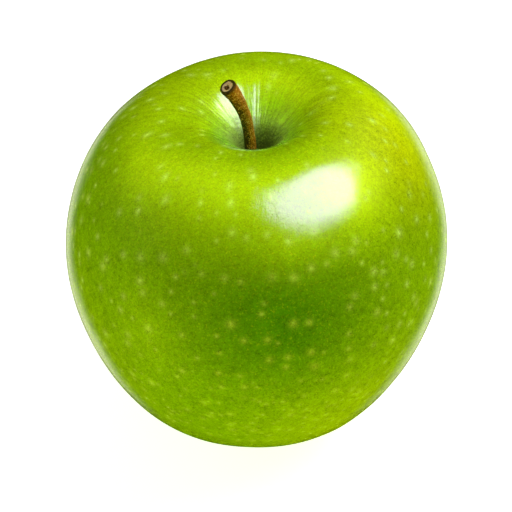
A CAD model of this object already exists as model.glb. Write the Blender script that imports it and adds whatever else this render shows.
"""The finished look of a ripe green dessert fruit that stands on a pale table.

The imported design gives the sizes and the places. This script makes what is seen: the ribbed, waxy
fruit, its bent woody stem, and the dried sepals and stamens in the basin underneath. Lengths are
in metres, +Z is up, and the origin is on the table under the middle of the fruit.
"""
from __future__ import annotations

import logging
import math
from dataclasses import dataclass
from enum import Enum
from typing import Any, Callable, Mapping, Sequence, Union

import bpy
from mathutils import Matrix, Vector, noise


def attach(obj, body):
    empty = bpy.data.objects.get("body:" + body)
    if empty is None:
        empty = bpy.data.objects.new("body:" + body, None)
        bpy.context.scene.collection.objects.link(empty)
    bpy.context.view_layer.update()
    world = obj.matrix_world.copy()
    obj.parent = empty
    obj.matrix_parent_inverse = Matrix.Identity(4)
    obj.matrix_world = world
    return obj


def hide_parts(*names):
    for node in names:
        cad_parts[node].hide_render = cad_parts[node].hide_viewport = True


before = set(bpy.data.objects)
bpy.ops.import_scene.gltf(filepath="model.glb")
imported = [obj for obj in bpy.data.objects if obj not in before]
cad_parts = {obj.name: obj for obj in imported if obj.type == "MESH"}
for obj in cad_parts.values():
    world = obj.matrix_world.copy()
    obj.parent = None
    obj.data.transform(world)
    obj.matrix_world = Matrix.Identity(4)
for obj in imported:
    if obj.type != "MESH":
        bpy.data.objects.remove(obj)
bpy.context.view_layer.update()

MM = 0.001
TURN = 2 * math.pi
LOG = logging.getLogger("green_fruit")

Colour = tuple[float, float, float]
Place = tuple[float, float, float]
Point2 = tuple[float, float]
Feeds = Mapping[Any, Any]
Number = Union[int, float, "Value"]
Direction = Union[Sequence[float], "Arrow"]


class Wrapped:
    """A socket in a node tree, on which Python's arithmetic adds nodes."""

    NODE = ""

    def __init__(self, tree: Tree, socket: bpy.types.NodeSocket) -> None:
        """Keeps the tree and its output socket."""
        self.tree = tree
        self.socket = socket

    @staticmethod
    def operator(operation: str, swapped: bool = False) -> Callable[..., Any]:
        """Makes a method that adds one node of the class's kind.

        Args:
            operation: The node's operation.
            swapped: Whether the wrapped socket comes last, as in a reflected operator.

        Returns:
            The method.
        """
        def method(own: Wrapped, *others: Any) -> Wrapped:
            terms = (*others, own) if swapped else (own, *others)
            node = own.tree.node(own.NODE, {"operation": operation}, dict(enumerate(terms)))
            return type(own)(own.tree, node.outputs[0])

        return method


class Value(Wrapped):
    """A number in a node tree."""

    NODE = "ShaderNodeMath"
    __add__ = __radd__ = Wrapped.operator("ADD")
    __sub__ = Wrapped.operator("SUBTRACT")
    __rsub__ = Wrapped.operator("SUBTRACT", swapped=True)
    __mul__ = __rmul__ = Wrapped.operator("MULTIPLY")
    __truediv__ = Wrapped.operator("DIVIDE")
    __pow__ = Wrapped.operator("POWER")
    __abs__ = Wrapped.operator("ABSOLUTE")
    exp = Wrapped.operator("EXPONENT")
    sin = Wrapped.operator("SINE")
    cos = Wrapped.operator("COSINE")
    angle_over = Wrapped.operator("ARCTAN2")
    at_least = Wrapped.operator("MAXIMUM")
    at_most = Wrapped.operator("MINIMUM")

    def rise(self, low: Number, high: Number) -> Value:
        """Goes smoothly from 0 at the low number to 1 at the high one."""
        inputs = {"Value": self, "From Min": low, "From Max": high}
        return self.tree.value("ShaderNodeMapRange", {"interpolation_type": "SMOOTHSTEP"}, inputs)

    def fall(self, low: Number, high: Number) -> Value:
        """Goes smoothly from 1 at the low number to 0 at the high one."""
        return 1 - self.rise(low, high)


class Arrow(Wrapped):
    """A vector in a node tree."""

    NODE = "ShaderNodeVectorMath"
    __add__ = Wrapped.operator("ADD")
    __sub__ = Wrapped.operator("SUBTRACT")
    times = Wrapped.operator("MULTIPLY")
    cross = Wrapped.operator("CROSS_PRODUCT")
    unit = Wrapped.operator("NORMALIZE")

    def __mul__(self, factor: Number) -> Arrow:
        """Multiplies by a number."""
        return self.tree.arrow(self.NODE, {"operation": "SCALE"}, {0: self, "Scale": factor})

    def dot(self, other: Direction) -> Value:
        """The dot product with a vector."""
        return self.tree.value(self.NODE, {"operation": "DOT_PRODUCT"}, {0: self, 1: other}, "Value")

    def parts(self) -> tuple[Value, Value, Value]:
        """The X, Y and Z parts."""
        node = self.tree.node("ShaderNodeSeparateXYZ", {}, {0: self})
        return tuple(Value(self.tree, socket) for socket in node.outputs)


class Tree:
    """Adds nodes to one shader tree or one geometry tree."""

    def __init__(self, nodes: bpy.types.NodeTree) -> None:
        """Keeps the node tree."""
        self.nodes = nodes

    def feed(self, node: bpy.types.Node, inputs: Feeds) -> bpy.types.Node:
        """Feeds a node's input sockets.

        Args:
            node: The node.
            inputs: A socket or a constant for each input socket, by its name or its number.

        Returns:
            The same node.
        """
        for key, source in inputs.items():
            source = source.socket if isinstance(source, Wrapped) else source
            if isinstance(source, bpy.types.NodeSocket):
                self.nodes.links.new(source, node.inputs[key])
            else:
                node.inputs[key].default_value = source
        return node

    def node(self, kind: str, settings: Feeds, inputs: Feeds) -> bpy.types.Node:
        """Adds one node.

        Args:
            kind: The node's type.
            settings: Its properties, which are set first.
            inputs: What feeds each input socket, by its name or its number.

        Returns:
            The new node.
        """
        node = self.nodes.nodes.new(kind)
        for key, setting in settings.items():
            setattr(node, key, setting)
        return self.feed(node, inputs)

    def value(self, kind: str, settings: Feeds, inputs: Feeds, output: Any = 0) -> Value:
        """Adds one node and wraps one of its number outputs."""
        return Value(self, self.node(kind, settings, inputs).outputs[output])

    def arrow(self, kind: str, settings: Feeds, inputs: Feeds, output: Any = 0) -> Arrow:
        """Adds one node and wraps one of its vector outputs."""
        return Arrow(self, self.node(kind, settings, inputs).outputs[output])

    def join(self, x: Number, y: Number, z: Number) -> Arrow:
        """Makes a vector from its three parts."""
        return self.arrow("ShaderNodeCombineXYZ", {}, {0: x, 1: y, 2: z})

    def noise(self, place: Arrow, size: float, detail: float = 2.0, roughness: float = 0.5) -> Value:
        """Smooth noise about 0, from about -0.5 to 0.5.

        Args:
            place: Where it is read.
            size: The width of its largest blotches, in the place's own units.
            detail: How many finer layers it has.
            roughness: How strong the finer layers are.

        Returns:
            The noise.
        """
        inputs = {"Vector": place, "Scale": 1 / size, "Detail": detail, "Roughness": roughness}
        return self.value("ShaderNodeTexNoise", {"noise_dimensions": "3D"}, inputs) - 0.5

    def mix(self, share: Number, *colours: Any) -> bpy.types.NodeSocket:
        """Mixes two colours, or colour sockets, by the share of the second one, from 0 to 1."""
        first, second = ((*one, 1.0) if isinstance(one, tuple) else one for one in colours)
        settings = {"data_type": "RGBA", "clamp_factor": True}
        return self.node("ShaderNodeMix", settings, {0: share, 6: first, 7: second}).outputs[2]

    def brighten(self, colour: Any, factor: Number) -> bpy.types.NodeSocket:
        """Multiplies a colour by a number."""
        return (Arrow(self, colour) * factor).socket


class Recipe:
    """A geometry tree with named inputs, which is run on a mesh and leaves a plain mesh."""

    KINDS = {float: "NodeSocketFloat", int: "NodeSocketInt", tuple: "NodeSocketVector"}

    def __init__(self, name: str, inputs: Mapping[str, Any]) -> None:
        """Starts a tree.

        Args:
            name: The tree's name.
            inputs: Each input's name and value: a float, an int or a point.
        """
        self.group = bpy.data.node_groups.new(name, "GeometryNodeTree")
        self.tree = Tree(self.group)
        self.values: dict[str, Any] = {}
        new_socket = self.group.interface.new_socket
        for side in ("INPUT", "OUTPUT"):
            new_socket("Geometry", in_out=side, socket_type="NodeSocketGeometry")
        for title, value in inputs.items():
            socket = new_socket(title, in_out="INPUT", socket_type=self.KINDS[type(value)])
            self.values[socket.identifier] = value
        self.source = self.tree.node("NodeGroupInput", {}, {})
        self.geometry = self.source.outputs["Geometry"]

    def number(self, title: str) -> Value:
        """A number input."""
        return Value(self.tree, self.source.outputs[title])

    def point(self, title: str) -> Arrow:
        """A vector input."""
        return Arrow(self.tree, self.source.outputs[title])

    def position(self) -> Arrow:
        """Each vertex's own place."""
        return self.tree.arrow("GeometryNodeInputPosition", {}, {})

    def move(self, geometry: bpy.types.NodeSocket, **way: Arrow) -> bpy.types.NodeSocket:
        """Moves every vertex to its new Position, or by its Offset."""
        return self.tree.node("GeometryNodeSetPosition", {}, {"Geometry": geometry, **way}).outputs[0]

    def join(self, *parts: bpy.types.NodeSocket) -> bpy.types.NodeSocket:
        """Joins geometries."""
        node = self.tree.node("GeometryNodeJoinGeometry", {}, {})
        for part in parts:
            self.tree.feed(node, {0: part})
        return node.outputs[0]

    def run(self, piece: bpy.types.Object, geometry: bpy.types.NodeSocket,
            material: bpy.types.Material) -> bpy.types.Object:
        """Ends the tree, runs it on a mesh object and keeps the result as its plain mesh.

        Args:
            piece: The object whose mesh is worked on.
            geometry: The geometry that the tree hands out.
            material: The material that it gets.

        Returns:
            The same object.
        """
        real = self.tree.node("GeometryNodeRealizeInstances", {}, {"Geometry": geometry})
        smooth = self.tree.node("GeometryNodeSetShadeSmooth", {}, {"Geometry": real.outputs[0]})
        inputs = {"Geometry": smooth.outputs[0], "Material": material}
        painted = self.tree.node("GeometryNodeSetMaterial", {}, inputs)
        self.tree.node("NodeGroupOutput", {}, {"Geometry": painted.outputs[0]})
        modifier = piece.modifiers.new(self.group.name, "NODES")
        modifier.node_group = self.group
        for identifier, value in self.values.items():
            modifier[identifier] = value
        bpy.context.view_layer.update()
        evaluated = piece.evaluated_get(bpy.context.evaluated_depsgraph_get())
        made = bpy.data.meshes.new_from_object(evaluated)
        piece.modifiers.remove(modifier)
        piece.data = made
        made.name = piece.name
        return piece


def new_piece(name: str, points: Sequence[Sequence[float]],
              faces: Sequence[Sequence[int]]) -> bpy.types.Object:
    """Makes a mesh object at the origin.

    Args:
        name: The piece's name.
        points: Its vertices.
        faces: Its faces, each a list of vertex numbers.

    Returns:
        The new object, linked to the scene.
    """
    mesh = bpy.data.meshes.new(name)
    mesh.from_pydata(points, [], faces)
    mesh.update()
    piece = bpy.data.objects.new(name, mesh)
    bpy.context.scene.collection.objects.link(piece)
    return piece


def ring(sides: int, radius: Callable[[float], float], height: Callable[[float], float]) -> list[Place]:
    """A ring of points, whose radius and height depend on the angle round."""
    angles = (TURN * j / sides for j in range(sides))
    return [(radius(a) * math.cos(a), radius(a) * math.sin(a), height(a)) for a in angles]


def skin_over(rings: Sequence[Sequence[Place]]) -> tuple[list, list]:
    """Joins rings of points into a closed skin. The first and the last ring are single points.

    Args:
        rings: The rings, in the order that keeps the outside on the right of the way along.

    Returns:
        The vertices and the faces.
    """
    points = [point for ring in rings for point in ring]
    sides = len(rings[1])
    last = len(points) - 1
    faces = []
    for j in range(sides):
        k = (j + 1) % sides
        faces.append((0, 1 + k, 1 + j))
        faces.append((last, last - sides + j, last - sides + k))
    for low in range(1, last - sides, sides):
        for j in range(sides):
            k = (j + 1) % sides
            faces.append((low + j, low + k, low + sides + k, low + sides + j))
    return points, faces


def bezier(points: Sequence[Point2], steps: int) -> list[Point2]:
    """The points of a Bezier curve through four points, without its last one.

    Args:
        points: The start, the two handles and the end.
        steps: How many points to give.

    Returns:
        The points along the curve.
    """
    start, leave, arrive, end = (Vector(point) for point in points)
    found = []
    for t in (i / steps for i in range(steps)):
        s = 1 - t
        found.append(tuple(s**3 * start + 3 * s * s * t * leave + 3 * s * t * t * arrive + t**3 * end))
    return found


def direction(azimuth: float, elevation: float) -> Vector:
    """The direction of a bearing and a height over level, both in degrees."""
    turn, lift = math.radians(azimuth), math.radians(elevation)
    return Vector((math.cos(lift) * math.cos(turn), math.cos(lift) * math.sin(turn), math.sin(lift)))


@dataclass(frozen=True)
class Spread:
    """A round, soft-edged spread of directions.

    Attributes:
        azimuth: Its middle's bearing in degrees, 0 along +X and 90 along +Y.
        elevation: Its middle's height over level, in degrees.
        width: How wide it is, in degrees.
    """

    azimuth: float
    elevation: float
    width: float

    def share(self, way: Arrow, ragged: Number = 0.0) -> Value:
        """How much of it there is in a direction, with noise that makes its edge uneven."""
        off = way.dot(tuple(direction(self.azimuth, self.elevation))) - 1
        return (off * (2 / math.radians(self.width) ** 2) + ragged).exp()


@dataclass(frozen=True)
class Patch(Spread):
    """A part of the skin that is riper or greener than the rest."""

    colour: Colour


@dataclass(frozen=True)
class Glow(Spread):
    """A bright part of the surroundings, which only the shine sees."""

    radiance: float


@dataclass(frozen=True)
class Finish:
    """What every finish has: a name, a sheen, and a way to paint itself."""

    name: str = "finish"
    specular: float = 0.3

    def material(self) -> bpy.types.Material:
        """Makes the material.

        Returns:
            The new material.
        """
        made = bpy.data.materials.new(self.name)
        made.use_nodes = True
        tree = Tree(made.node_tree)
        shader = made.node_tree.nodes["Principled BSDF"]
        tree.feed(shader, {"Specular IOR Level": self.specular})
        place = tree.arrow("ShaderNodeTexCoord", {}, {}, "Object")
        self.paint(tree, shader, place)
        return made

    def paint(self, tree: Tree, shader: bpy.types.Node, place: Arrow) -> None:
        """Feeds the shader's sockets. Each finish has its own."""
        raise NotImplementedError

    @staticmethod
    def cover(tree: Tree, shader: bpy.types.Node, colour: Any, roughness: Number, relief: Value,
              depth: float, strength: float = 1.0) -> None:
        """Feeds a shader's colour, roughness and bumped normal.

        Args:
            tree: The material's tree.
            shader: The shader to feed.
            colour: The base colour's socket.
            roughness: The roughness.
            relief: The height of the surface's finest relief, in depths.
            depth: How tall a relief of 1 is.
            strength: The bump's strength.
        """
        bump = tree.node("ShaderNodeBump", {}, {"Height": relief, "Strength": strength, "Distance": depth})
        tree.feed(shader, {"Base Color": colour, "Roughness": roughness, "Normal": bump.outputs[0]})


@dataclass(frozen=True)
class Lenticels:
    """One size of the skin's pale breathing spots.

    Attributes:
        spacing: The usual distance between two spots.
        halo: The radius of a spot's soft pale halo.
        depth: How far from the skin a spot's own centre may be.
        stretch: How many times longer than wide a spot is on the shoulder.
    """

    spacing: float
    halo: float
    depth: float
    stretch: float
    core_radius: float = 0.1 * MM

    def spots(self, tree: Tree, place: Arrow, normal: Arrow, shoulder: Value) -> tuple[Value, Value]:
        """Finds how much of a spot there is at each point of the skin.

        Args:
            tree: The material's tree.
            place: The point's place.
            normal: The skin's outward direction.
            shoulder: How near the point is to the shoulder, from 0 to 1.

        Returns:
            The soft halo and the small centre, each from 0 to 1.
        """
        settings = {"voronoi_dimensions": "3D", "feature": "F1"}
        inputs = {"Vector": place, "Scale": 1 / self.spacing, "Randomness": 0.85}
        cells = tree.node("ShaderNodeTexVoronoi", settings, inputs)
        off = place - cells.outputs["Position"]
        lift = off.dot(normal)
        flat = off - normal * lift
        round_way = normal.cross((0, 0, 1)).unit()
        sideways = flat.dot(round_way) * (1 + shoulder * (self.stretch - 1))
        upwards = flat.dot(round_way.cross(normal))
        away = (sideways * sideways + upwards * upwards) ** 0.5
        size_luck, halo_luck, core_luck = Arrow(tree, cells.outputs["Color"]).parts()
        near = abs(lift).fall(self.depth * 0.7, self.depth)
        radius = self.halo * (0.55 + 0.65 * size_luck)
        halo = ((away / radius) ** 1.5 * -3.0).exp() * near * (0.6 + 0.4 * halo_luck)
        core = (away / self.core_radius).fall(0.4, 1.5) * near * core_luck.rise(0.55, 0.8)
        return halo, core


@dataclass(frozen=True)
class SkinFinish(Finish):
    """Waxy green skin: yellow where the sun reached it, downy and dull deep in the two hollows."""

    name: str = "waxy_green_skin"
    specular: float = 0.5
    roughness: float = 0.11
    relief_depth: float = 0.036 * MM
    leaf_green: Colour = (0.220, 0.500, 0.0008)
    deep_green: Colour = (0.090, 0.350, 0.0004)
    pale_spot: Colour = (0.620, 0.860, 0.180)
    dark_spot: Colour = (0.140, 0.150, 0.020)
    gold_fleck: Colour = (0.520, 0.700, 0.020)
    hollow_down: Colour = (0.400, 0.500, 0.120)
    hollow_russet: Colour = (0.090, 0.120, 0.020)
    centre_height: float = 40 * MM
    patches: tuple[Patch, ...] = (
        Patch(-160, -24, 30, (0.390, 0.610, 0.001)),
        Patch(-45, -38, 38, (0.440, 0.670, 0.001)),
        Patch(100, -5, 40, (0.420, 0.620, 0.001)),
        Patch(-10, 45, 21, (0.560, 0.650, 0.001)),
        Patch(-75, 64, 12, (0.150, 0.420, 0.0004)),
        Patch(150, 48, 16, (0.420, 0.600, 0.001)),
        Patch(-82, 17, 21, (0.090, 0.370, 0.0004)),
        Patch(150, 25, 30, (0.120, 0.400, 0.0004)),
    )
    large: Lenticels = Lenticels(spacing=4.0 * MM, halo=1.45 * MM, depth=1.6 * MM, stretch=1.5)
    small: Lenticels = Lenticels(spacing=2.6 * MM, halo=0.9 * MM, depth=0.8 * MM, stretch=1.4)

    def paint(self, tree: Tree, shader: bpy.types.Node, place: Arrow) -> None:
        """Feeds the skin's colour, gloss and bump, and dulls it where it is downy.

        Args:
            tree: The material's tree.
            shader: The shader to feed.
            place: The point's place on the object.
        """
        normal = tree.arrow("ShaderNodeNewGeometry", {}, {}, "Normal")
        x, y, height = place.parts()
        across = (x * x + y * y) ** 0.5
        shoulder = height.rise(48 * MM, 66 * MM) * across.fall(24 * MM, 36 * MM)
        inside = height.rise(45 * MM, 52 * MM)
        hollow = inside * across.fall(3.5 * MM, 12.5 * MM)
        slope = inside * across.rise(3.5 * MM, 6 * MM) * across.fall(11 * MM, 18 * MM)
        basin = height.fall(9 * MM, 16 * MM) * across.fall(4 * MM, 11 * MM)
        low = height.fall(22 * MM, 44 * MM)
        clear = 1 - hollow

        way = (place - (0, 0, self.centre_height)).unit()
        ripe = tree.noise(place, 22 * MM) * 0.5
        colour = self.leaf_green
        for patch in self.patches:
            colour = tree.mix(patch.share(way, ripe), colour, patch.colour)

        round_about = tree.join(x / across, y / across, height * 9.0)
        streak = tree.noise(round_about, 0.045, 3.0, 0.65) * (0.2 + 0.8 * shoulder)
        grain = tree.noise(place, 0.3 * MM, 2.0, 0.75)
        mottle = tree.noise(place, 1.1 * MM, 3.0, 0.65)
        blotch = tree.noise(place, 4.5 * MM)
        fleck = tree.noise(place + (3, 5, 7), 0.42 * MM, 2.0, 0.65)
        speck = tree.noise(place, 0.45 * MM, 2.0, 0.7)
        down = inside * (across + (speck + mottle) * 4 * MM).fall(3 * MM, 9 * MM)
        colour = tree.mix(down * 0.85, colour, self.hollow_down)
        shade = inside * across.fall(2 * MM, 9 * MM) * (0.75 + 0.8 * way.dot((1.0, 0.2, 0.0)))
        deep = (shade + speck * 0.9 + mottle * 0.4).rise(0.35, 0.85)
        colour = tree.mix(deep * inside, colour, self.hollow_russet)
        colour = tree.mix(basin * 0.75, colour, self.hollow_down)

        halo, core = self.large.spots(tree, place, normal, shoulder)
        low_halo, low_core = self.small.spots(tree, place, normal, shoulder)
        spots = (halo * (1 - 0.3 * low)).at_least(low_halo * low) * clear
        cores = (core * (1 - low)).at_least(low_core * low * 0.6) * clear
        colour = tree.mix(spots * 0.9, colour, self.pale_spot)
        colour = tree.mix(cores * 0.4, colour, self.dark_spot)
        colour = tree.mix(fleck.rise(0.03, 0.24) * 0.55 * clear, colour, self.gold_fleck)
        leaf = (grain + 0.6 * mottle).fall(-0.3, -0.02) * 0.45 * clear
        colour = tree.mix(leaf, colour, self.deep_green)
        dim = slope * (0.16 + 0.16 * way.dot((1.0, 0.0, 0.0)))
        tone = 0.93 - dim + (0.5 + 1.1 * slope) * streak + 1.4 * grain + 0.85 * mottle + 0.4 * blotch
        colour = tree.brighten(colour, tone.at_least(0.2))

        dull = (0.2 * hollow + 0.5 * basin + 0.2 * spots).at_most(0.6)
        relief = grain * 0.6 + mottle * 0.5 + streak * 0.8 + spots * 0.4 + speck * down * 2.5
        rough = self.roughness + dull + 0.1 * mottle
        self.cover(tree, shader, colour, rough, relief, self.relief_depth)
        downy = tree.node("ShaderNodeBsdfPrincipled", {}, {"Specular IOR Level": 0.02})
        self.cover(tree, downy, colour, 0.9, relief, self.relief_depth)
        matt = (down * 0.9).at_least(basin * 0.6)
        both = tree.node("ShaderNodeMixShader", {}, {0: matt, 1: shader.outputs[0], 2: downy.outputs[0]})
        tree.feed(tree.nodes.nodes["Material Output"], {"Surface": both.outputs[0]})


@dataclass(frozen=True)
class BarkFinish(Finish):
    """The stem's thin bark and its cut end."""

    name: str = "stem_bark"
    specular: float = 0.04
    relief_depth: float = 0.14 * MM
    bark_dark: Colour = (0.018, 0.010, 0.003)
    bark_brown: Colour = (0.150, 0.052, 0.006)
    bark_orange: Colour = (0.500, 0.170, 0.010)
    bark_olive: Colour = (0.042, 0.036, 0.005)
    bark_fleck: Colour = (0.900, 0.580, 0.160)
    wood_pale: Colour = (1.000, 0.720, 0.420)
    wood_brown: Colour = (0.300, 0.110, 0.035)
    pith: Colour = (0.080, 0.028, 0.010)

    def paint(self, tree: Tree, shader: bpy.types.Node, place: Arrow) -> None:
        """Feeds the bark's and the cut end's colours, from the numbers that the mesh carries.

        Args:
            tree: The material's tree.
            shader: The shader to feed.
            place: The point's place on the object.
        """
        along, out, face, side = (
            tree.value("ShaderNodeAttribute", {"attribute_name": name}, {}, "Fac") for name in Stem.NOTES
        )
        fibre = tree.noise(tree.join(along * 0.35, side, out) * 40.0, 1.1, 3.0, 0.6)
        patch = tree.noise(place, 1.3 * MM, 3.0, 0.6)
        fine = tree.noise(place, 0.3 * MM, 2.0, 0.7)
        coarse = tree.noise(place, 0.6 * MM, 3.0, 0.7)
        sunny = tree.arrow("ShaderNodeNewGeometry", {}, {}, "Normal").dot((0.85, -0.35, 0.3))
        tone = sunny * 0.62 + 0.42 + fibre * 0.6 + coarse * 1.1
        colour = tree.mix(tone.rise(0.2, 0.55), self.bark_olive, self.bark_brown)
        colour = tree.mix(tone.rise(0.5, 0.95), colour, self.bark_orange)
        colour = tree.mix((fibre + fine + coarse).fall(-0.34, -0.14), colour, self.bark_dark)
        flecks = (coarse * 0.7 + fine).rise(0.12, 0.2) * tone.rise(0.3, 0.6)
        colour = tree.mix(flecks, colour, self.bark_fleck)

        wood = tree.mix((fine + patch * 0.8).rise(0.06, 0.3), self.wood_pale, self.wood_brown)
        wood = tree.mix((out + patch * 1.7 + fine * 0.8).fall(0.16, 0.34), wood, self.pith)
        wood = tree.mix((out + fine * 0.14 + patch * 0.2).rise(0.66, 0.76), wood, self.bark_dark)
        colour = tree.mix(along.rise(0.965, 0.995) * 0.8, colour, self.bark_dark)
        colour = tree.mix(face, colour, wood)
        relief = fibre * 0.8 + fine * 0.5 + coarse * 0.9
        self.cover(tree, shader, colour, 0.62 + fine * 0.3, relief, self.relief_depth)


@dataclass(frozen=True)
class DryLeafFinish(Finish):
    """The dried, downy sepals."""

    name: str = "dried_sepal"
    specular: float = 0.02
    relief_depth: float = 0.15 * MM
    base: Colour = (0.210, 0.215, 0.085)
    tip: Colour = (0.150, 0.085, 0.035)
    down: Colour = (0.480, 0.460, 0.300)

    def paint(self, tree: Tree, shader: bpy.types.Node, place: Arrow) -> None:
        """Feeds the sepals' colours.

        Args:
            tree: The material's tree.
            shader: The shader to feed.
            place: The point's place on the object.
        """
        height = place.parts()[2]
        vein = tree.noise(place.times((1, 1, 0.3)), 0.35 * MM, 3.0, 0.7)
        low = (height + tree.noise(place, 1.2 * MM) * 3 * MM).fall(2.5 * MM, 6.5 * MM)
        colour = tree.mix(low, self.base, self.tip)
        colour = tree.mix(vein.rise(0.02, 0.3) * 0.7, colour, self.down)
        self.cover(tree, shader, colour, 0.85 + vein * 0.1, vein, self.relief_depth, 0.9)


@dataclass(frozen=True)
class DryThreadFinish(Finish):
    """The withered stamens."""

    name: str = "dried_stamen"
    specular: float = 0.02
    relief_depth: float = 0.08 * MM
    thread: Colour = (0.090, 0.045, 0.018)
    dust: Colour = (0.240, 0.150, 0.070)

    def paint(self, tree: Tree, shader: bpy.types.Node, place: Arrow) -> None:
        """Feeds the stamens' colours.

        Args:
            tree: The material's tree.
            shader: The shader to feed.
            place: The point's place on the object.
        """
        patch = tree.noise(place, 0.4 * MM, 3.0, 0.7)
        colour = tree.mix(patch.rise(-0.1, 0.25), self.thread, self.dust)
        self.cover(tree, shader, colour, 0.9 + patch * 0.1, patch, self.relief_depth, 0.8)


@dataclass(frozen=True)
class TableFinish(Finish):
    """A plain pale table top, whose bounced light is warm and doesn't veil the fruit's gloss."""

    name: str = "pale_table"
    specular: float = 0.0
    pale: Colour = (0.92, 0.92, 0.92)
    warm: Colour = (0.92, 0.90, 0.05)
    glow: float = 0.94

    def paint(self, tree: Tree, shader: bpy.types.Node, place: Arrow) -> None:
        """Feeds the table's colour.

        Args:
            tree: The material's tree.
            shader: The shader to feed.
            place: The point's place on the object.
        """
        seen = tree.value("ShaderNodeLightPath", {}, {}, "Is Camera Ray")
        pale = tree.mix(seen, self.warm, self.pale)
        grained = tree.brighten(pale, 1 + 0.02 * tree.noise(place, 3 * MM))
        tree.feed(shader, {"Base Color": grained, "Roughness": 0.9, "Emission Color": pale,
                           "Emission Strength": self.glow})


def hand_over(piece: bpy.types.Object, slot: str, *nodes: str) -> bpy.types.Object:
    """Ties a finished piece to the frame.

    Args:
        piece: The finished piece.
        slot: The record's material slot that it takes its finish from.
        nodes: The design's nodes that it stands for.

    Returns:
        The same piece.
    """
    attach(piece, "root")
    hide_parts(*nodes)
    return piece


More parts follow.
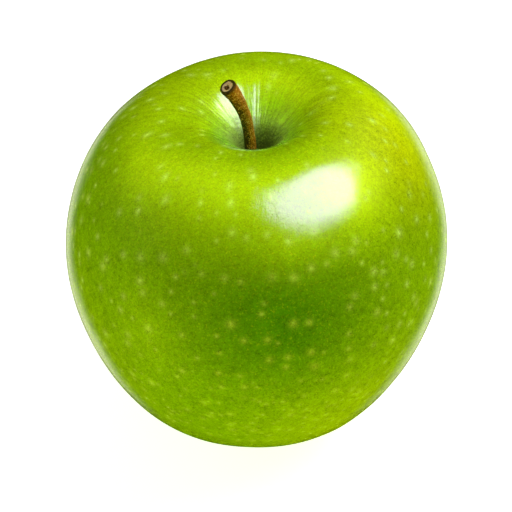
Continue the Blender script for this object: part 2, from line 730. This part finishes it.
@dataclass
class Fruit:
    """The fruit, turned from an outline and then grown into its ribs, shoulder and hollows."""

    finish: SkinFinish = SkinFinish()
    radius: float = 39 * MM
    equator_height: float = 39.1 * MM
    ridge_radius: float = 16.4 * MM
    ridge_height: float = 72 * MM
    hollow_lip: Point2 = (5.9 * MM, 66.6 * MM)
    throat: Point2 = (1.0 * MM, 56.4 * MM)
    foot_radius: float = 11.6 * MM
    basin_floor: Point2 = (3.6 * MM, 8.6 * MM)
    tube_radius: float = 2.2 * MM
    tube_top: float = 11 * MM
    foot_handle: float = 12.7 * MM
    lower_flank_handle: float = 17.7 * MM
    upper_flank_handle: float = 16.5 * MM
    shoulder_handle: float = 12.6 * MM
    hollow_rim_handle: float = 5.4 * MM
    hollow_lip_handle: Point2 = (2.6 * MM, 1.95 * MM)
    hollow_edge_handle: Point2 = (-2.0 * MM, -1.5 * MM)
    hollow_wall_handle: Point2 = (0.6 * MM, 5.2 * MM)
    basin_rim_handle: float = 4.6 * MM
    basin_wall_handle: Point2 = (1 * MM, -3.4 * MM)
    high_shoulder_rise: float = 1.1 * MM
    high_shoulder_azimuth: float = math.radians(6)
    ovality: float = 0.011
    oval_azimuth: float = math.radians(77)
    ribs: int = 5
    rib_azimuth: float = math.radians(17)
    flank_rib_height: float = 0.25 * MM
    shoulder_rib_height: float = 0.15 * MM
    foot_valley_height: float = 1.2 * MM
    foot_sink: float = 0.4 * MM
    foot_spread: float = 9 * MM
    shoulder_shift: Place = (-0.27 * MM, 0.15 * MM, 0.0)
    flute_depth: float = 0.16 * MM
    pucker_depth: float = 0.5 * MM
    swell_depth: float = 0.22 * MM
    lump_depth: float = 0.05 * MM
    sides: int = 336

    INPUTS = (
        "equator_height", "ridge_height", "ridge_radius", "high_shoulder_rise",
        "high_shoulder_azimuth", "shoulder_shift", "ovality", "oval_azimuth", "ribs", "rib_azimuth",
        "flank_rib_height", "shoulder_rib_height", "foot_radius", "foot_spread",
        "foot_valley_height", "foot_sink", "flute_depth", "pucker_depth", "swell_depth", "lump_depth",
    )

    def outline(self) -> list[Point2]:
        """The outline from the flower tube's top, round the outside, to the hollow's floor.

        Returns:
            Points of radius and height.
        """
        def beside(point: Point2, out: float, up: float = 0.0) -> Point2:
            return point[0] + out, point[1] + up

        tube = (self.tube_radius, self.tube_top)
        foot = (self.foot_radius, 0.0)
        equator = (self.radius, self.equator_height)
        ridge = (self.ridge_radius, self.ridge_height)
        basin, lip, throat = self.basin_floor, self.hollow_lip, self.throat
        curves = (
            (14, (tube[0] * 0.5, tube[1]), tube, (tube[0], basin[1])),
            (26, basin, beside(basin, *self.basin_wall_handle), beside(foot, -self.basin_rim_handle)),
            (84, foot, beside(foot, self.foot_handle), beside(equator, 0.0, -self.lower_flank_handle)),
            (76, equator, beside(equator, 0.0, self.upper_flank_handle),
             beside(ridge, self.shoulder_handle)),
            (40, ridge, beside(ridge, -self.hollow_rim_handle), beside(lip, *self.hollow_lip_handle)),
            (40, lip, beside(lip, *self.hollow_edge_handle), beside(throat, *self.hollow_wall_handle)),
        )
        ends = [curve[1] for curve in curves[1:]] + [throat]
        points = [point for (steps, *held), end in zip(curves, ends) for point in bezier((*held, end), steps)]
        return points + [throat]

    def blank(self) -> bpy.types.Object:
        """Turns the outline into a plain round body.

        Returns:
            The blank.
        """
        outline = self.outline()
        rings = [[(0.0, 0.0, outline[0][1] + 0.2 * MM)]]
        rings += [ring(self.sides, lambda a: radius, lambda a: height) for radius, height in outline]
        rings.append([(0.0, 0.0, outline[-1][1])])
        return new_piece("green_fruit", *skin_over(rings))

    def grown_place(self, recipe: Recipe) -> Arrow:
        """Where the large form puts each vertex: shoulder, oval plan, ribs and five flat feet.

        Args:
            recipe: The fruit's recipe.

        Returns:
            The vertex's new place.
        """
        size = recipe.number
        x, y, z = recipe.position().parts()
        azimuth = y.angle_over(x)
        radius = (x * x + y * y) ** 0.5
        share = (z - size("equator_height")) / (size("ridge_height") - size("equator_height"))
        rise = share.at_least(0.0) ** 2
        outward = radius.rise(0.0, size("ridge_radius"))
        rib = (size("ribs") * (azimuth - size("rib_azimuth"))).cos()
        foot = (size("foot_spread") - abs(radius - size("foot_radius"))).rise(0.0, size("foot_spread"))
        near_table = z.fall(0.0, 15.996 * MM)

        oval = 1 + size("ovality") * (2 * (azimuth - size("oval_azimuth"))).cos()
        ribbed = (radius + size("flank_rib_height") * rib * outward * (1 - rise)) * oval
        tilt = size("high_shoulder_rise") * (azimuth - size("high_shoulder_azimuth")).cos()
        lifted = z + rise * outward * (tilt + size("shoulder_rib_height") * rib)
        valley = size("foot_valley_height") * 0.5 * (1 - rib) - size("foot_sink")
        settled = (lifted + foot * near_table * valley).at_least(0.0)
        grown = recipe.tree.join(ribbed * azimuth.cos(), ribbed * azimuth.sin(), settled)
        return grown + recipe.point("shoulder_shift") * (outward * rise)

    def relief(self, recipe: Recipe) -> Arrow:
        """How the skin swells, and how the hollow is fluted and the basin puckered.

        Args:
            recipe: The fruit's recipe.

        Returns:
            How far each vertex of the grown form moves.
        """
        tree, size = recipe.tree, recipe.number
        place = recipe.position()
        x, y, z = place.parts()
        radius = (x * x + y * y) ** 0.5
        safe = radius.at_least(0.2 * MM)
        round_about = tree.join(x / safe, y / safe, z * 14.0)
        flute = tree.noise(round_about, 0.17, 2.0, 0.55) * 2
        pucker = tree.noise(round_about, 0.4, 2.0, 0.6) * 2
        swell = tree.noise(place, 17 * MM, 1.0, 0.4) * 2
        lump = tree.noise(place, 8 * MM) * 2
        hollow = z.rise(self.equator_height, self.throat[1])
        hollow = hollow * radius.rise(1.5 * MM, 4.5 * MM) * radius.fall(9 * MM, 17 * MM)
        basin = z.fall(7.5 * MM, 14 * MM) * radius.rise(2 * MM, 4 * MM) * radius.fall(6 * MM, 12 * MM)
        basin = basin * z.rise(0.5 * MM, 2.5 * MM)
        flank = z.rise(1 * MM, 9 * MM) * (1 - basin) * radius.rise(0.0, 8 * MM)
        depth = size("flute_depth") * flute * hollow + size("pucker_depth") * pucker * basin
        depth = depth + (size("swell_depth") * swell + size("lump_depth") * lump) * flank
        return tree.arrow("GeometryNodeInputNormal", {}, {}) * depth

    def build(self) -> bpy.types.Object:
        """Builds the fruit and hands it over.

        Returns:
            The finished piece.
        """
        recipe = Recipe("grow_fruit", {name: getattr(self, name) for name in self.INPUTS})
        grown = recipe.move(recipe.geometry, Position=self.grown_place(recipe))
        skin = recipe.move(grown, Offset=self.relief(recipe))
        piece = recipe.run(self.blank(), skin, self.finish.material())
        return hand_over(piece, "skin", "fruit")


@dataclass(frozen=True)
class Path:
    """A bent centre line, along which a straight blank is laid and then turned about +Z."""

    start: Place
    leave: Place
    arrive: Place
    end: Place
    azimuth: float = 0.0

    def bend(self, blank: bpy.types.Object, name: str, material: bpy.types.Material) -> bpy.types.Object:
        """Lays a blank along the path, where its height of 0 to 1 is the way along.

        Args:
            blank: The blank.
            name: The tree's name.
            material: The material that the bent piece gets.

        Returns:
            The same object, bent.
        """
        titles = ("Start", "Start Handle", "End Handle", "End")
        handles = dict(zip(titles, (self.start, self.leave, self.arrive, self.end)))
        recipe = Recipe(name, {**handles, "Azimuth": self.azimuth})
        tree = recipe.tree
        inputs = {"Resolution": 96, **{title: recipe.point(title) for title in handles}}
        line = tree.node("GeometryNodeCurvePrimitiveBezierSegment", {}, inputs)
        x, y, along = recipe.position().parts()
        settings = {"mode": "FACTOR", "use_all_curves": True}
        found = tree.node("GeometryNodeSampleCurve", settings, {"Curves": line.outputs[0], "Factor": along})
        forward = Arrow(tree, found.outputs["Tangent"])
        side = forward.cross((0, -1, 0)).unit()
        bent = Arrow(tree, found.outputs["Position"]) + side * x + forward.cross(side) * y
        inputs = {"Vector": bent, "Angle": recipe.number("Azimuth")}
        turned = tree.arrow("ShaderNodeVectorRotate", {"rotation_type": "Z_AXIS"}, inputs)
        return recipe.run(blank, recipe.move(recipe.geometry, Position=turned), material)


@dataclass
class Stem:
    """The woody stem, with its grooved bark, flared tip and cut end."""

    finish: BarkFinish = BarkFinish()
    foot_radius: float = 1.4 * MM
    waist_radius: float = 1.1 * MM
    tip_radius: float = 1.75 * MM
    rim_height: float = 0.07 * MM
    rim_step: float = 0.08 * MM
    roughness: float = 0.09 * MM
    pith_depth: float = 0.5 * MM
    pith_out: float = 0.2604
    pith_azimuth: float = math.radians(200)
    knob_height: float = 0.1 * MM
    path: Path = Path(
        start=(0.0, 0.0, 53.65 * MM),
        leave=(-2.05 * MM, 0.0, 62.9 * MM),
        arrive=(0.2 * MM, -2.2 * MM, 71.4 * MM),
        end=(-5.58 * MM, -5.0 * MM, 80.85 * MM),
    )
    length: float = 28.7 * MM
    sides: int = 64
    rings: int = 150
    face_rings: int = 22

    NOTES = ("along", "out", "face", "side")

    def bark_radius(self, angle: float, share: float) -> float:
        """The bark's radius: thick foot, waist and flared tip, with grooves, wrinkles and knobs.

        Args:
            angle: The way round.
            share: The way along, from 0 to 1.

        Returns:
            The radius.
        """
        foot = (self.foot_radius - self.waist_radius) * math.exp(-9 * share)
        tip = (self.tip_radius - self.waist_radius) * share**6
        way = Vector((math.cos(angle), math.sin(angle), 0.0))
        grooves = noise.noise(way * 2.6 + Vector((0, 0, share * 3.0)))
        fine = noise.noise(way * 6.0 + Vector((3.0, 0, share * 9.0)))
        wrinkles = noise.noise(way * 1.4 + Vector((0, 5.0, share * 26.0)))
        swell = noise.noise(Vector((1.7, 8.0, share * 5.0)))
        knobs = 0.9 * grooves + 0.5 * fine + 0.55 * wrinkles + 0.7 * swell
        return self.waist_radius + foot + tip + self.knob_height * knobs

    def face_height(self, angle: float, out: float) -> float:
        """How high the cut end is: a bark lip, rough wood, and a pith hollow bent like a C.

        Args:
            angle: The way round.
            out: How far out, from 0 at the middle to 1 at the edge.

        Returns:
            The height over the stem's end, as a share of its length.
        """
        lip = self.rim_height * math.exp(-((out - 0.86) / 0.09) ** 2)
        place = Vector((out * math.cos(angle) * 3.2, out * math.sin(angle) * 3.2, 4.0))
        rough = self.roughness * noise.noise(place) * min(1.0, 4 * (1 - out))
        opening = 0.5 + 0.5 * math.cos(angle - self.pith_azimuth)
        pith = math.exp(-((out - self.pith_out) / (0.13 + 0.06 * opening)) ** 2)
        return (lip + rough - self.pith_depth * pith * (0.25 + 0.75 * opening)) / self.length

    def blank(self) -> bpy.types.Object:
        """Makes the straight stem, whose height of 0 to 1 is the way along.

        Returns:
            The blank, which carries the numbers that its finish reads.
        """
        def edge(angle: float) -> float:
            return self.bark_radius(angle, 1.0) - self.rim_step

        shares = [i / self.rings for i in range(self.rings)]
        outs = [0.97 * (1 - i / self.face_rings) for i in range(self.face_rings)]
        rings = [ring(self.sides, lambda a: self.bark_radius(a, share), lambda a: share) for share in shares]
        rings.append(ring(self.sides, edge, lambda a: 1.0))
        for out in outs:
            rings.append(ring(self.sides, lambda a: out * edge(a), lambda a: 1 + self.face_height(a, out)))
        pith_floor = 1 - self.pith_depth * 0.6 / self.length
        piece = new_piece("woody_stem", *skin_over([[(0.0, 0.0, 0.0)], *rings, [(0.0, 0.0, pith_floor)]]))
        piece.visible_glossy = False
        kinds = [(share, 1.0, 0.0) for share in (*shares, 1.0)] + [(1.0, out, 1.0) for out in outs]
        notes = [(*kind, j / self.sides) for kind in kinds for j in range(self.sides)]
        notes = [(0.0, 0.0, 0.0, 0.0), *notes, (1.0, 0.0, 1.0, 0.0)]
        for name, column in zip(self.NOTES, zip(*notes)):
            piece.data.attributes.new(name, "FLOAT", "POINT").data.foreach_set("value", column)
        return piece

    def build(self) -> bpy.types.Object:
        """Builds the stem and hands it over."""
        piece = self.path.bend(self.blank(), "bend_stem", self.finish.material())
        return hand_over(piece, "stem_wood", "stem")


@dataclass
class Calyx:
    """What is left of the flower: five dried sepals round a brush of withered stamens."""

    leaf: DryLeafFinish = DryLeafFinish()
    thread: DryThreadFinish = DryThreadFinish()
    sepals: int = 5
    root_radius: float = 2.9 * MM
    root_height: float = 8.0 * MM
    length: float = 6.6 * MM
    half_width: float = 1.75 * MM
    half_thickness: float = 0.16 * MM
    wave: float = 0.25 * MM
    hairs: int = 500
    hair_length: float = 0.55 * MM
    hair_radius: float = 0.02 * MM
    stamens: int = 20
    stamen_height: float = 6.6 * MM
    stamen_radius: float = 0.07 * MM
    anther_radius: float = 0.16 * MM
    root_reach: float = 0.75 * MM
    tube_top: float = 10.8 * MM

    def sepal_blank(self, index: int) -> bpy.types.Object:
        """Makes one flat, pointed sepal with a fold along its middle and curled edges.

        Args:
            index: Which of the five it is.

        Returns:
            The blank, whose height of 0 to 1 is the way along.
        """
        steps, sides = 30, 28
        rings = [[(0.0, 0.0, 0.0)]]
        for share in (i / steps for i in range(1, steps)):
            width = self.half_width * (1 - share) ** 0.75 * min(1.0, 0.55 + share * 3)
            points = []
            for angle in (TURN * j / sides for j in range(sides)):
                across = math.cos(angle)
                curl = 0.5 * width * across * across * (0.4 + share)
                wave = self.wave * noise.noise(Vector((across * 1.5, share * 5, index * 7.3)))
                thick = self.half_thickness * math.sin(angle) * (1.15 - share)
                points.append((curl + wave + thick, width * across, share))
            rings.append(points)
        rings.append([(0.0, 0.0, 1.0)])
        return new_piece(f"sepal_{index + 1}_leaf", *skin_over(rings))

    def sepal(self, index: int, material: bpy.types.Material) -> bpy.types.Object:
        """Builds one sepal with its down.

        Args:
            index: Which of the five it is.
            material: The dried leaf's material.

        Returns:
            The finished piece.
        """
        droop = 0.3 * MM * math.sin(index * 2.4)
        root, low = self.root_radius, self.root_height - self.length * 0.78 + droop
        path = Path(
            start=(root, 0.0, self.root_height),
            leave=(root - 1.2 * MM, 0.0, self.root_height - self.length * 0.3),
            arrive=(root - 1.5 * MM, 0.2 * MM, low + 1.0 * MM),
            end=(root + 1.7 * MM - droop, 0.4 * MM * math.cos(index * 1.9), low),
            azimuth=TURN * (index + 0.5) / self.sepals,
        )
        piece = path.bend(self.sepal_blank(index), f"bend_sepal_{index + 1}", material)
        self.grow_down(piece, index, material)
        return hand_over(piece, "dried_sepal", f"sepal_{index + 1}")

    def grow_down(self, piece: bpy.types.Object, seed: int, material: bpy.types.Material) -> None:
        """Covers a sepal with short hairs.

        Args:
            piece: The sepal.
            seed: The seed of the hairs' places.
            material: The hairs' material.
        """
        recipe = Recipe(f"down_{seed + 1}", {
            "Hairs per Area": self.hairs / (2 * self.length * self.half_width),
            "Hair Length": self.hair_length,
            "Seed": seed,
        })
        tree, number = recipe.tree, recipe.number
        inputs = {"Mesh": recipe.geometry, "Density": number("Hairs per Area"), "Seed": number("Seed")}
        spread = tree.node("GeometryNodeDistributePointsOnFaces", {"distribute_method": "RANDOM"}, inputs)
        inputs = {"Vertices": 3, "Side Segments": 1, "Radius Top": 0.0,
                  "Radius Bottom": self.hair_radius, "Depth": number("Hair Length")}
        hair = tree.node("GeometryNodeMeshCone", {"fill_type": "NGON"}, inputs)
        corners = {0: (-0.9, -0.9, -0.4), 1: (0.9, 0.9, 0.9)}
        lean = tree.arrow("FunctionNodeRandomValue", {"data_type": "FLOAT_VECTOR"}, corners)
        way = Arrow(tree, spread.outputs["Normal"]) + lean
        turn = tree.node("FunctionNodeAlignRotationToVector", {"axis": "Z"}, {"Vector": way})
        inputs = {"Points": spread.outputs["Points"], "Instance": hair.outputs["Mesh"],
                  "Rotation": turn.outputs[0]}
        hairs = tree.node("GeometryNodeInstanceOnPoints", {}, inputs)
        recipe.run(piece, recipe.join(recipe.geometry, hairs.outputs[0]), material)

    def stamen_tuft(self) -> bpy.types.Object:
        """Builds the brush of stamens: bent threads on a small knob, each with its anther.

        Returns:
            The finished piece.
        """
        sizes = {"Stamens": self.stamens, "Stamen Length": self.stamen_height, "Seed": 11}
        recipe = Recipe("stamen_brush", sizes)
        tree, length = recipe.tree, recipe.number("Stamen Length")

        def luck(low: Place, high: Place, step: int) -> Arrow:
            """A random vector for each stamen."""
            inputs = {0: low, 1: high, "Seed": recipe.number("Seed") + step}
            return tree.arrow("FunctionNodeRandomValue", {"data_type": "FLOAT_VECTOR"}, inputs)

        bend = {"Resolution": 10, "Start": (0, 0, 0), "Start Handle": tree.join(0.0, 0.0, length * -0.4),
                "End Handle": tree.join(0.5 * MM, 0.0, length * -0.7),
                "End": tree.join(0.9 * MM, 0.2 * MM, length * -0.95)}
        line = tree.node("GeometryNodeCurvePrimitiveBezierSegment", {}, bend)
        inputs = {"Resolution": 6, "Radius": self.stamen_radius}
        profile = tree.node("GeometryNodeCurvePrimitiveCircle", {}, inputs)
        inputs = {"Curve": line.outputs[0], "Profile Curve": profile.outputs[0], "Fill Caps": True}
        thread = tree.node("GeometryNodeCurveToMesh", {}, inputs)
        inputs = {"Radius": self.anther_radius, "Subdivisions": 2}
        ball = tree.node("GeometryNodeMeshIcoSphere", {}, inputs)
        inputs = {"Geometry": ball.outputs["Mesh"], "Translation": bend["End"], "Scale": (1.0, 0.8, 1.7)}
        anther = tree.node("GeometryNodeTransform", {}, inputs)
        reach = self.root_reach
        root = luck((-reach, -reach, 0.0), (reach, reach, 0.0), 1) + (0.0, 0.0, self.tube_top - 0.3 * MM)
        inputs = {"Count": recipe.number("Stamens"), "Position": root}
        points = tree.node("GeometryNodePoints", {}, inputs)
        turn = luck((-0.1, -0.1, 0.0), (0.1, 0.1, TURN), 3)
        inputs = {"Points": points.outputs[0],
                  "Instance": recipe.join(thread.outputs[0], anther.outputs[0]),
                  "Rotation": tree.node("FunctionNodeEulerToRotation", {}, {0: turn}).outputs[0],
                  "Scale": luck((0.8, 0.8, 0.6), (1.1, 1.1, 1.0), 7)}
        brush = tree.node("GeometryNodeInstanceOnPoints", {}, inputs)
        joined = recipe.join(recipe.geometry, brush.outputs[0])
        piece = recipe.run(self.tuft_root(), joined, self.thread.material())
        return hand_over(piece, "dried_stamen", "stamen_tuft")

    def tuft_root(self) -> bpy.types.Object:
        """Makes the small ribbed knob that joins the stamens at their root.

        Returns:
            The knob.
        """
        rings = [[(0.0, 0.0, self.tube_top - 1.1 * MM)]]
        for radius, drop in ((0.7, 0.95), (1.0, 0.6), (1.05, 0.3), (0.9, 0.05)):
            rings.append(ring(24, lambda a: radius * MM * (1 + 0.08 * math.sin(7 * a)),
                              lambda a: self.tube_top - drop * MM))
        rings.append([(0.0, 0.0, self.tube_top)])
        return new_piece("withered_stamens", *skin_over(rings))

    def build(self) -> list[bpy.types.Object]:
        """Builds the sepals and the stamens and hands them over.

        Returns:
            The finished pieces.
        """
        material = self.leaf.material()
        pieces = [self.sepal(index, material) for index in range(self.sepals)]
        return pieces + [self.stamen_tuft()]


class Use(Enum):
    """What a lamp is for, and the shape of its face."""

    SHINE = "ELLIPSE"
    FORM = "RECTANGLE"


@dataclass(frozen=True)
class Lamp:
    """A soft box, which either makes the shine or lights the form.

    Attributes:
        name: Its name.
        use: What it is for.
        azimuth: Its bearing from the object in degrees, 0 along +X and 90 along +Y.
        elevation: Its height over level, in degrees.
        width: Its width.
        height: Its height.
        radiance: How bright its face is.
        distance: How far off it hangs.
        colour: Its colour.
    """

    name: str
    use: Use
    azimuth: float
    elevation: float
    width: float
    height: float
    radiance: float
    distance: float = 0.9
    colour: Colour = (1.0, 1.0, 1.0)

    def build(self, aim: Vector) -> None:
        """Hangs the lamp.

        Args:
            aim: The point that it faces.
        """
        data = bpy.data.lights.new(self.name, "AREA")
        data.shape = self.use.value
        data.size = self.width
        data.size_y = self.height
        face = self.width * self.height * (math.pi / 4 if self.use is Use.SHINE else 1.0)
        data.energy = self.radiance * math.pi * face
        data.color = self.colour
        lamp = bpy.data.objects.new(self.name, data)
        way = direction(self.azimuth, self.elevation)
        lamp.location = aim + way * self.distance
        lamp.rotation_euler = way.to_track_quat("Z", "Y").to_euler()
        lamp.visible_camera = False
        lamp.visible_diffuse = self.use is Use.FORM
        lamp.visible_glossy = self.use is Use.SHINE
        bpy.context.scene.collection.objects.link(lamp)


@dataclass
class Studio:
    """The pale table, the soft light and the camera."""

    table: TableFinish = TableFinish()
    table_half_size: float = 3.0
    table_drop: float = 0.02 * MM
    aim: Place = (-0.08 * MM, 0.0, 37 * MM)
    camera_distance: float = 500 * MM
    camera_elevation: float = math.radians(37)
    camera_lens: float = 172.8
    camera_lowering: float = 0.36 * MM
    rim_radiance: float = 1.6
    rim_tint: Colour = (0.98, 1.0, 0.74)
    glow_tint: Colour = (0.76, 1.0, 0.002)
    lamps: tuple[Lamp, ...] = (
        Lamp("shine_box", Use.SHINE, -22, 59, 0.82, 0.74, 16.0, 0.8, colour=(0.62, 0.46, 1.0)),
        Lamp("key_box", Use.FORM, 30, 40, 0.9, 0.8, 2.5),
        Lamp("left_fill", Use.FORM, 180, 20, 0.9, 0.6, 1.1),
        Lamp("back_fill", Use.FORM, 150, 62, 0.9, 0.8, 0.5),
    )
    glows: tuple[Glow, ...] = (
        Glow(0, 90, 47, 12.5),
        Glow(0, 40, 25, 15.0),
        Glow(-60, 40, 23, 5.0),
        Glow(60, 10, 23, 2.5),
        Glow(150, 40, 23, 3.5),
        Glow(-150, -25, 23, 1.9),
    )

    def build_table(self) -> None:
        """Lays the table top, a hair under the fruit's feet."""
        half, low = self.table_half_size, -self.table_drop
        corners = [(-half, -half, low), (half, -half, low), (half, half, low), (-half, half, low)]
        table = new_piece("table_top", corners, [(0, 1, 2, 3)])
        table.data.materials.append(self.table.material())
        table.data.materials[0].cycles.emission_sampling = "NONE"
        table.visible_glossy = False

    def build_world(self) -> None:
        """Sets the surroundings: white to the eye, and to the shine soft bright parts and pale rims."""
        world = bpy.data.worlds.new("studio")
        world.use_nodes = True
        world.cycles.sampling_method = "NONE"
        bpy.context.scene.world = world
        tree = Tree(world.node_tree)
        way = tree.arrow("ShaderNodeTexCoord", {}, {}, "Generated").unit()
        x, y, z = way.parts()
        side = abs(x)
        strip = side.rise(0.16, 0.28) * side.fall(0.42, 0.56) * (0.6 + 0.4 * (side * 50).cos())
        low = z.fall(-0.38, -0.22) * z.rise(-0.86, -0.7)
        rim = low * y.rise(0.4, 0.6) * strip * self.rim_radiance
        glow = sum(glow.share(way) * glow.radiance for glow in self.glows)
        rays = tree.node("ShaderNodeLightPath", {}, {}).outputs
        shine, eye = Value(tree, rays["Is Glossy Ray"]), Value(tree, rays["Is Camera Ray"])
        tints = zip(self.glow_tint, self.rim_tint)
        colour = tree.join(*(shine * (glow * bright + rim * pale) + eye for bright, pale in tints))
        tree.feed(world.node_tree.nodes["Background"], {"Color": colour})

    def build_camera(self) -> None:
        """Places the camera in front of the object and above it."""
        data = bpy.data.cameras.new("camera")
        data.sensor_width = 36.0
        data.lens = self.camera_lens
        data.clip_start = 0.01
        camera = bpy.data.objects.new("camera", data)
        level, lift = math.cos(self.camera_elevation), math.sin(self.camera_elevation)
        place = Vector((0.0, 0.0, self.aim[2])) + Vector((0.0, -level, lift)) * self.camera_distance
        target = Vector(self.aim) - Vector((0.0, lift, level)) * self.camera_lowering
        camera.location = place
        camera.rotation_euler = (place - target).to_track_quat("Z", "Y").to_euler()
        bpy.context.scene.collection.objects.link(camera)
        bpy.context.scene.camera = camera

    def build(self) -> None:
        """Builds the table, the surroundings, the lamps and the camera."""
        self.build_table()
        self.build_world()
        for lamp in self.lamps:
            lamp.build(Vector(self.aim))
        self.build_camera()
        view = bpy.context.scene.view_settings
        view.view_transform = "Standard"
        view.look = "None"


def main() -> None:
    """Builds the studio, the fruit, the stem and the calyx, and reports each piece."""
    logging.basicConfig(level=logging.INFO, format="%(name)s: %(message)s")
    Studio().build()
    pieces = [Fruit().build(), Stem().build(), *Calyx().build()]
    for piece in pieces:
        size = tuple(round(side / MM, 1) for side in piece.dimensions)
        LOG.info("%s: %s mm, %d faces", piece.name, size, len(piece.data.polygons))


if __name__ == "__main__":
    main()
